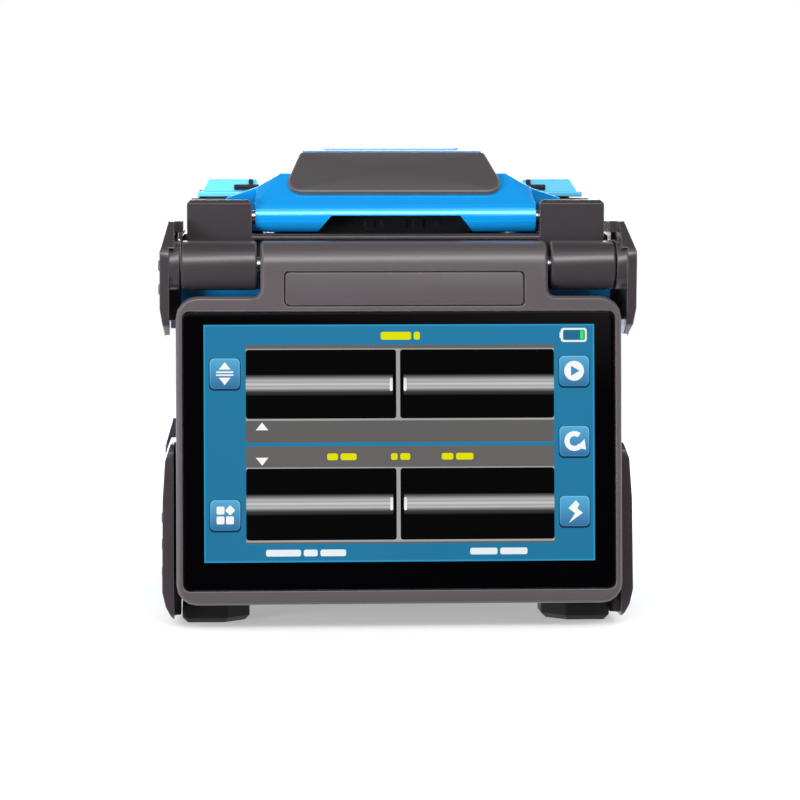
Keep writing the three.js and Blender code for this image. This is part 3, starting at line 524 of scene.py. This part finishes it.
grip_plastic = finish("grip_plastic", "3c383a", 0.46, grain=0.25, depth=2.5, uneven=0.06, worn="8d878b",
                      wear=0.3, specular=1.0)
points, faces = domed_plate(GRIP, low[2], high[2], 0.95, 0.9)
make("wind_cover_grip_plate_domed", on(SLOPE_PLANE, (points + [0, low[1], 0], faces)),
     grip_plastic, "wind_cover", ["wind_cover_grip_plate"])
print("grip plate", round(GRIP_LENGTH, 1), "mm up its slope")

# %% [markdown]
# ## Clamp inserts
# Each sheath clamp lid carries a black elastic insert that presses on the fiber coating: a bar in the slot
# along the lid and a small block across its front.

# %% Clamp inserts
for side, sign in (("left", -1), ("right", 1)):
    bar_u = sorted([sign * 39.45, sign * 40.55])
    block_u = sorted([sign * 37.5, sign * 44.8])
    body = f"{side}_clamp_lid"
    make(f"clamp_insert_bar_{side}", on(TOP, plate(*bar_u, -23.4, 3.0, 120.4, 123.45, 0.3, 0.15)),
         FINISHES["black_plastic"], body)
    make(f"clamp_insert_block_{side}", on(FRONT, plate(*block_u, 120.3, 121.9, 21.5, 24.2, 0.4, 0.2)),
         FINISHES["black_plastic"], body)
print("clamp inserts on both lids")

# %% [markdown]
# ## Screen glass and nameplate
# The cover glass is one polished plate, black from behind, set a little below the bezel. A plate with
# quarter-round rims catches the thin line of light that real ground glass has.

# %% Glass and nameplate
def plate_for(node, radius, edge):
    """A plate as large as a CAD node is on the monitor's plane, with rounded corners and rims."""
    low, high = (corner / MM for corner in box_on(node, MONITOR))
    return on(MONITOR, plate(low[0], high[0], low[1], high[1], low[2], high[2], radius, edge))


glass_w = box_on("touch_glass", MONITOR)[1][2]
make("cover_glass", plate_for("touch_glass", 2.0, 0.3), FINISHES["screen_glass"], "monitor",
     ["touch_glass"])
make("blank_nameplate", plate_for("nameplate", 1.2, 0.25), OWN_FINISH["monitor_frame"], "monitor",
     ["nameplate"])
print("glass face stands", round(glass_w / MM, 2), "mm in front of the hinge axis")

# %% [markdown]
# ## The picture on the screen
# The screen shows two camera views of the fiber ends, one above the other, with keys on both sides. It is
# drawn as flat coloured polygons a hair in front of the glass. Colours are stored on the points, so a
# gradient needs no texture: colour is linear between points. All words are plain bars.

# %% Drawing the picture
PICTURE_WIDTH, PICTURE_TOP = 107.2, -16.5
UNIT = PICTURE_WIDTH / 100
PICTURE_HEIGHT = 60.6
LAYER = 0.008
drawn = []


def draw(outline, layer, colour, lower=None):
    """A flat polygon in picture units, v down, painted from colour at its top to lower at its foot."""
    outline = np.asarray(outline, float)
    v = outline[:, 1]
    share = ((v - v.min()) / max(np.ptp(v), 1e-9))[:, None]
    paint = (1 - share) * np.array(linear(colour)) + share * np.array(linear(lower or colour))
    u = (outline[:, 0] - 50) * UNIT
    up = PICTURE_TOP - v * UNIT
    lift = np.full(len(v), 0.02 + LAYER * layer)
    drawn.append((np.column_stack([u, up, lift]), paint))


def tile(u0, u1, v0, v1, radius, layer, colour, lower=None):
    """A rounded rectangle; its outline is turned so that it faces out although v runs down."""
    draw(rounded_rectangle(u0, u1, v0, v1, radius, 5)[::-1], layer, colour, lower)


def disc(u, v, radius, layer, colour, lower=None, sides=32):
    """A circle: centre + radius (cos a, -sin a)."""
    a = np.linspace(0, 2 * np.pi, sides, endpoint=False)
    draw(np.column_stack([u + radius * np.cos(a), v - radius * np.sin(a)]), layer, colour, lower)


def bars(u0, u1, v0, v1, lengths, layer, colour):
    """Plain bars in place of words: their lengths share the stretch, with gaps between them."""
    gap = 0.7
    total = sum(lengths)
    room = (u1 - u0) - gap * (len(lengths) - 1)
    start = u0
    for length in lengths:
        end = start + room * length / total
        tile(start, end, v0, v1, min(0.5, (v1 - v0) / 2.2), layer, colour)
        start = end + gap


VIEW_LEFT, VIEW_MIDDLE, VIEW_RIGHT = 10.7, 49.6, 89.6
tile(0, 100, 0, PICTURE_HEIGHT, 0.05, 0, "2f9acb")
tile(0.35, 99.6, 0.4, PICTURE_HEIGHT - 0.4, 0.05, 1, "277fa9", "257ba4")
FIBER_TONES = ["0c0c0c", "5a5a5a", "8e8e8e", "b9b9b9", "a6a6a6", "d4d4d4", "a8a8a8", "c2c2c2", "7d7d7d",
               "3c3c3c", "303030", "080808"]
for top, foot, middle, band in ((6.4, 24.0, 15.45, (24.0, 30.1)), (36.7, 55.0, 45.95, (31.0, 36.7))):
    tile(VIEW_LEFT, VIEW_RIGHT, min(top - 1.2, band[0]), max(foot + 0.9, band[1]), 0.02, 2,
         "6a6766", "666463")
    tile(VIEW_LEFT, VIEW_RIGHT, top - 0.3, foot + 0.5, 0.1, 3, "a9a8a8")
    for left, right in ((VIEW_LEFT, VIEW_MIDDLE - 0.5), (VIEW_MIDDLE + 0.5, VIEW_RIGHT)):
        tile(left, right, top, foot, 0.7, 4, "020202")
        edges = np.linspace(middle - 2.7, middle + 2.7, len(FIBER_TONES))
        inner = right - 0.9 if left == VIEW_LEFT else left + 0.9
        u0, u1 = sorted([inner, VIEW_LEFT if left == VIEW_LEFT else VIEW_RIGHT])
        for upper, under, tone, next_tone in zip(edges[:-1], edges[1:], FIBER_TONES[:-1], FIBER_TONES[1:]):
            draw([[u0, upper], [u0, under], [u1, under], [u1, upper]], 5, tone, next_tone)
        tip = (u1 - 0.75, u1) if left == VIEW_LEFT else (u0, u0 + 0.75)
        tile(*tip, middle - 1.8, middle + 1.5, 0.35, 6, "e8e8e8", "ffffff")
tile(VIEW_LEFT, VIEW_RIGHT, 30.15, 30.95, 0.02, 7, "1b84b4")


def key(u, v):
    """A screen key: a dark rim, a light rim and a face that darkens towards its foot."""
    half = 4.05
    tile(u - half, u + half, v - half + 0.1, v + half + 0.35, 1.3, 2, "15384c")
    tile(u - half + 0.2, u + half - 0.2, v - half + 0.2, v + half - 0.15, 1.2, 3, "74c6ee", "3d82b8")
    tile(u - half + 0.5, u + half - 0.5, v - half + 0.5, v + half - 0.4, 1.0, 4, "5ab2dc", "3a76a6")


LEFT_KEYS, RIGHT_KEYS = 5.35, 94.8
for u, v in ((LEFT_KEYS, 12.4), (LEFT_KEYS, 48.5), (RIGHT_KEYS, 12.0), (RIGHT_KEYS, 30.0),
             (RIGHT_KEYS, 47.9)):
    key(u, v)


def arrow(u, v, size, direction, layer, colour="ffffff"):
    """A triangle that points up (1) or down (-1)."""
    tip = v - direction * size
    foot = [[u - size * 0.8, v], [u + size * 0.8, v]]
    draw([[u, tip], *(foot if direction > 0 else foot[::-1])], layer, colour)


arrow(LEFT_KEYS, 11.4, 1.9, 1, 5)
tile(LEFT_KEYS - 2.2, LEFT_KEYS + 2.2, 11.85, 12.25, 0.1, 5, "ffffff")
tile(LEFT_KEYS - 2.2, LEFT_KEYS + 2.2, 12.6, 13.0, 0.1, 5, "ffffff")
arrow(LEFT_KEYS, 13.45, 1.9, -1, 5)
for du, dv in ((-1.2, -1.2), (-1.2, 1.3), (1.2, 1.3)):
    tile(LEFT_KEYS + du - 1.0, LEFT_KEYS + du + 1.0, 48.5 + dv - 1.0, 48.5 + dv + 1.0, 0.35, 5, "ffffff")
diamond = rounded_rectangle(-0.92, 0.92, -0.92, 0.92, 0.3, 4)[::-1] @ np.array([[1, 1], [-1, 1]]) * 0.72
draw(diamond + np.array([LEFT_KEYS + 1.25, 47.25]), 5, "ffffff")
disc(RIGHT_KEYS, 12.0, 2.55, 5, "ffffff")
draw([[RIGHT_KEYS - 0.8, 10.7], [RIGHT_KEYS - 0.8, 13.3], [RIGHT_KEYS + 1.4, 12.0]], 6, "4b93c3")
turn = np.radians(np.linspace(50, 330, 29))
circle = np.column_stack([np.cos(turn), -np.sin(turn)])
outer, inner = 2.55 * circle, 1.25 * circle
for k in range(len(turn) - 1):
    draw(np.array([outer[k], outer[k + 1], inner[k + 1], inner[k]]) + [RIGHT_KEYS, 30.0], 5, "ffffff")
draw(np.array([[0.4, 1.7], [3.0, 2.2], [2.6, -0.5]]) + [RIGHT_KEYS, 30.0], 5, "ffffff")
BOLT = [[0.4, -2.7], [1.3, -1.7], [0.8, -0.6], [2.2, 0.5], [-1.4, 3.1], [0.2, 0.6], [-1.5, -0.7]]
draw((np.array(BOLT) + [RIGHT_KEYS - 0.1, 47.9])[::-1], 5, "ffffff")
tile(91.4, 98.1, 1.0, 4.6, 0.7, 2, "f2f8fb")
tile(91.1, 91.7, 2.0, 3.6, 0.2, 2, "f2f8fb")
tile(92.0, 97.6, 1.5, 4.1, 0.4, 3, "2a6f95")
tile(96.4, 97.3, 1.7, 3.9, 0.1, 4, "35f35c")
bars(45.2, 55.2, 1.9, 3.9, [5, 1], 2, "e9e800")
for start, end in ((31.4, 38.9), (47.7, 52.6), (60.7, 68.8)):
    bars(start, end, 32.9, 34.6, [2, 3], 7, "e9e800")
arrow(14.8, 26.9, 2.0, 1, 7)
arrow(14.8, 33.9, 2.0, -1, 7)
bars(15.7, 36.1, 57.4, 59.1, [6, 2.4, 4.4], 2, "eef6fa")
bars(67.9, 82.6, 57.2, 58.9, [4.6, 4.6], 2, "eef6fa")

# %% The picture as one mesh
def picture_material():
    """Light from the picture, under the same polished glass: the point colours are its emission."""
    material = bpy.data.materials.new("screen_picture")
    material.use_nodes = True
    tree = material.node_tree
    shader = tree.nodes["Principled BSDF"]
    stored = tree.nodes.new("ShaderNodeAttribute")
    stored.attribute_name = "paint"
    marks = use(tree, HANDLING, Size=40.0)
    dim = stretch_to(tree, marks["Patches"], 0.0, 0.12)
    lit = blend_colour(tree, dim, stored.outputs["Color"], (0, 0, 0, 1))
    tree.links.new(lit, shader.inputs["Emission Color"])
    tree.links.new(stretch_to(tree, marks["Smears"], 0.04, 0.1), shader.inputs["Roughness"])
    shader.inputs["Emission Strength"].default_value = 1.0
    shader.inputs["Base Color"].default_value = (0.001, 0.001, 0.001, 1)
    shader.inputs["Specular IOR Level"].default_value = 0.1
    return material


def picture():
    """Every polygon keeps its own points, so that neighbours don't share colours."""
    points = np.concatenate([outline for outline, _ in drawn]) + [0, 0, glass_w / MM]
    starts = np.cumsum([0] + [len(outline) for outline, _ in drawn])
    faces = [list(range(a, b)) for a, b in zip(starts[:-1], starts[1:])]
    piece = make("screen_picture", on(MONITOR, (points, faces)), picture_material(), "monitor")
    attribute = piece.data.attributes.new("paint", "FLOAT_COLOR", "POINT")
    paints = np.concatenate([paint for _, paint in drawn]).astype(np.float32)
    attribute.data.foreach_set("color", paints.ravel())
    return piece


picture()
print("the picture has", len(drawn), "polygons")

# %% [markdown]
# ## Turned pieces
# Hinge pins and electrodes are turned parts, so each is a profile of radius and height carried round an
# axis. Chamfers and points are part of the profile.

# %% Pins and electrodes
def pin_profile(radius, length, chamfer=0.3):
    """A pin from height 0 to its length with a chamfer at both ends."""
    near, far = chamfer, length - chamfer
    return [(radius - chamfer, 0), (radius, near), (radius, far), (radius - chamfer, length)]


for side in ("left", "right"):
    for hinge in ("monitor", "cover"):
        node = f"{hinge}_pin_{side}"
        low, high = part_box(node)
        centre = (low + high) / 2
        shape = turned(pin_profile((high.z - low.z) / 2 / MM, (high.x - low.x) / MM))
        make(f"{node}_turned", on(RIGHT, shape, (centre.y, centre.z, low.x)), FINISHES["steel"],
             body_of[node], [node])

ELECTRODE = [(0.02, 1.2), (0.3, 2.2), (1.0, 4.2), (1.0, 16.8), (1.3, 16.9), (1.4, 17.0), (1.4, 17.8),
             (1.25, 18.0)]
FIBER_Y, FIBER_Z = -12.0, 118.2
for end, where, w in (("front", FRONT, -FIBER_Y), ("rear", BACK, FIBER_Y)):
    node = f"electrode_{end}"
    make(f"{node}_turned", on(where, turned(ELECTRODE, 32), (0, FIBER_Z * MM, w * MM)), FINISHES["steel"],
         body_of[node], [node])

# %% [markdown]
# ## Microscopes and lamps
# Two microscopes look up at the fiber from below, each at 45 degrees, and a lamp in the cover shines at
# each of them from above. A microscope is a stepped barrel with a glass lens and a square camera behind it.

# %% Microscopes and lamps
lens_glass = finish("lens_glass", "0a1422", 0.04, coat=1.0, grain=2.0, depth=0.02, uneven=0.02)
lamp_lens = finish("lamp_lens", "f4f7f2", 0.12, coat=0.8, grain=0.5, depth=0.3)
BARREL = [(1.7, 8.9), (1.8, 8.6), (2.7, 8.5), (3.0, 8.8), (3.0, 13.4), (2.8, 13.6), (2.8, 13.9),
          (4.1, 13.95), (4.4, 14.25), (4.4, 15.0), (4.25, 15.1), (4.25, 15.3), (4.4, 15.4),
          (4.4, 17.7), (4.1, 18.0)]
LENS = [(1.72, 9.05), (1.6, 8.95), (1.2, 8.82), (0.7, 8.74), (0.02, 8.7)]
LAMP = [(2.4, 0.0), (2.4, 3.1), (2.15, 3.3), (2.1, 3.5), (1.95, 4.0), (1.5, 4.55), (0.8, 4.9), (0.02, 5.0)]
for end, sign in (("front", -1), ("rear", 1)):
    cosine = math.sqrt(0.5)
    beam = plane((1, 0, 0), (0, -cosine, -sign * cosine), (0, FIBER_Y * MM, FIBER_Z * MM))
    node = f"microscope_{end}"
    make(f"{node}_barrel", on(beam, turned(BARREL, 64)), FINISHES[slot_of[node]], body_of[node],
         [node])
    make(f"{node}_camera", on(beam, plate(-2.95, 2.95, -2.95, 2.95, 17.9, 21, 0.5, 0.25)),
         FINISHES["black_plastic"], body_of[node])
    make(f"{node}_lens", on(beam, turned(LENS[::-1], 32)), lens_glass, body_of[node])
    lamp = f"led_lamp_{end}"
    middle = np.array([0, FIBER_Y + sign * 5.6, 123.2]) * MM
    down = np.array([0, -sign * cosine, -cosine])
    shine = plane((1, 0, 0), (0, cosine, -sign * cosine), middle - down * 2.5 * MM)
    make(f"{lamp}_domed", on(shine, turned(LAMP, 40)), lamp_lens, body_of[lamp], [lamp])
print("beams at 45 degrees:", beam[1][2].round(2), "lamps shine along", shine[1][2].round(2))

# %% [markdown]
# ## Power key
# The power key on the right side is a round moulded cap with a dished face and a raised ring.

# %% Power key
low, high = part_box("power_key")
height = (high.x - low.x) / MM
DISH = [(5.2, 0), (5.2, height - 0.5), (5.1, height - 0.2), (4.8, height), (4.3, height),
        (4.0, height - 0.12), (3.0, height - 0.3), (2.85, height - 0.2), (2.45, height - 0.2),
        (2.3, height - 0.34), (1.2, height - 0.42), (0.02, height - 0.45)]
centre = (low + high) / 2
make("power_key_dished", on(RIGHT, turned(DISH, 64), (centre.y, centre.z, low.x)),
     FINISHES[slot_of["power_key"]], body_of["power_key"], ["power_key"])
print("the key is", round(height, 2), "mm deep")

# %% [markdown]
# ## Camera, floor and light
# The camera stands about a metre in front, a little to the left and about as high as the fiber. The room is
# plain: bright walls at the sides and behind draw thin lines along the edges, a bright band above the
# front draws one along each round part, and a dark ceiling and a dark low front keep the plastic deep and
# the glass black. The floor fades into the room and isn't mirrored in the object.

# %% Camera
camera = bpy.data.objects.new("camera", bpy.data.cameras.new("camera"))
scene.collection.objects.link(camera)
camera.location = Vector((-51.178, -940.604, 121.231)) * MM
yaw, pitch = math.radians(3.371), math.radians(-3.827)
camera.rotation_euler = (math.pi / 2 + pitch, 0, -yaw)
camera.data.lens = 143.46
scene.camera = camera
print("camera at", [round(x, 3) for x in camera.location])


# %% Floor and light
def floor_material():
    """A pale matt floor that fades into the room: opaque within 0.3 m of the middle, clear beyond 1.1 m."""
    material = finish("pale_floor", "dcdcdc", 0.9, grain=1.5, depth=2.0, specular=0.1, tint=0.98)
    tree = material.node_tree
    shader = tree.nodes["Principled BSDF"]
    place = tree.nodes.new("ShaderNodeTexCoord").outputs["Object"]
    length = tree.nodes.new("ShaderNodeVectorMath")
    length.operation = "LENGTH"
    tree.links.new(place, length.inputs[0])
    fade = map_range(tree, length.outputs["Value"], 0.3, 1.1, 1.0, 0.0)
    tree.links.new(fade, shader.inputs["Alpha"])
    shader.inputs["Emission Color"].default_value = (1, 1, 1, 1)
    shader.inputs["Emission Strength"].default_value = 0.35
    return material


def stage_floor():
    """A flat disc: points r (cos a, sin a) for the rim."""
    a = np.linspace(0, 2 * np.pi, 96, endpoint=False)
    points = np.column_stack([1.4 * np.cos(a), 1.4 * np.sin(a), np.zeros(96)])
    mesh = bpy.data.meshes.new("floor")
    mesh.from_pydata(points.tolist(), [], [list(range(96))])
    floor = bpy.data.objects.new("floor", mesh)
    scene.collection.objects.link(floor)
    mesh.materials.append(floor_material())
    floor.visible_glossy = False


def softbox(name, place, aim, size, power, seen=True):
    """An area light at place, in metres, turned to face aim; seen says whether it shows in reflections."""
    light = bpy.data.lights.new(name, "AREA")
    light.shape = "RECTANGLE"
    light.size, light.size_y = size
    light.energy = power
    holder = bpy.data.objects.new(name, light)
    scene.collection.objects.link(holder)
    holder.location = place
    holder.rotation_euler = (Vector(aim) - Vector(place)).to_track_quat("-Z", "Y").to_euler()
    holder.visible_camera = False
    holder.visible_glossy = seen


def map_range(tree, value, start, end, low, high):
    """A smooth step from low to high as the value goes from start to end."""
    node = tree.nodes.new("ShaderNodeMapRange")
    node.interpolation_type = "SMOOTHSTEP"
    tree.links.new(value, node.inputs["Value"])
    for label, number in (("From Min", start), ("From Max", end), ("To Min", low), ("To Max", high)):
        node.inputs[label].default_value = number
    return node.outputs[0]


# how bright the room is, by where a reflected ray goes
FRONT_LOW, FRONT_BAND, WALLS, OVERHEAD = 0.03, 1.25, 1.3, 0.1


def studio_world():
    """Plain white to the camera. To the object: dark overhead and low in front, a bright band above the
    front, and bright walls at the sides and behind."""
    world = bpy.data.worlds.new("studio")
    scene.world = world
    world.use_nodes = True
    tree = world.node_tree
    room = tree.nodes["Background"]
    room.inputs["Color"].default_value = (1, 1, 1, 1)
    plain = tree.nodes.new("ShaderNodeBackground")
    plain.inputs["Color"].default_value = (1, 1, 1, 1)
    way = tree.nodes.new("ShaderNodeSeparateXYZ")
    tree.links.new(tree.nodes.new("ShaderNodeTexCoord").outputs["Generated"], way.inputs[0])
    up, back = way.outputs["Z"], way.outputs["Y"]
    band = math_node(tree, "MULTIPLY", map_range(tree, up, 0.16, 0.34, FRONT_LOW, FRONT_BAND),
                     map_range(tree, up, 0.84, 0.985, 1.0, OVERHEAD / FRONT_BAND))
    walls = map_range(tree, up, 0.62, 0.85, WALLS, OVERHEAD)
    share = map_range(tree, back, -0.45, 0.05, 0.0, 1.0)
    mix = tree.nodes.new("ShaderNodeMix")
    tree.links.new(share, mix.inputs[0])
    tree.links.new(band, mix.inputs[2])
    tree.links.new(walls, mix.inputs[3])
    tree.links.new(mix.outputs[0], room.inputs["Strength"])
    eye = tree.nodes.new("ShaderNodeMixShader")
    tree.links.new(tree.nodes.new("ShaderNodeLightPath").outputs["Is Camera Ray"], eye.inputs[0])
    tree.links.new(room.outputs[0], eye.inputs[1])
    tree.links.new(plain.outputs[0], eye.inputs[2])
    tree.links.new(eye.outputs[0], tree.nodes["World Output"].inputs["Surface"])


stage_floor()
studio_world()
middle = (0, 0, 0.07)
softbox("front_above", (0, -1.0, 0.75), middle, (1.3, 0.35), 8)
softbox("low_left", (-0.65, -0.7, 0.06), (-0.04, -0.07, 0.03), (0.3, 0.2), 9, seen=False)
softbox("behind", (0, 1.1, 0.45), middle, (1.4, 0.5), 10)
for side in (-1, 1):
    softbox(f"rim_{'left' if side < 0 else 'right'}", (side * 0.55, 1.5, 0.12), middle, (0.5, 0.5), 3)
scene.view_settings.view_transform = "Standard"
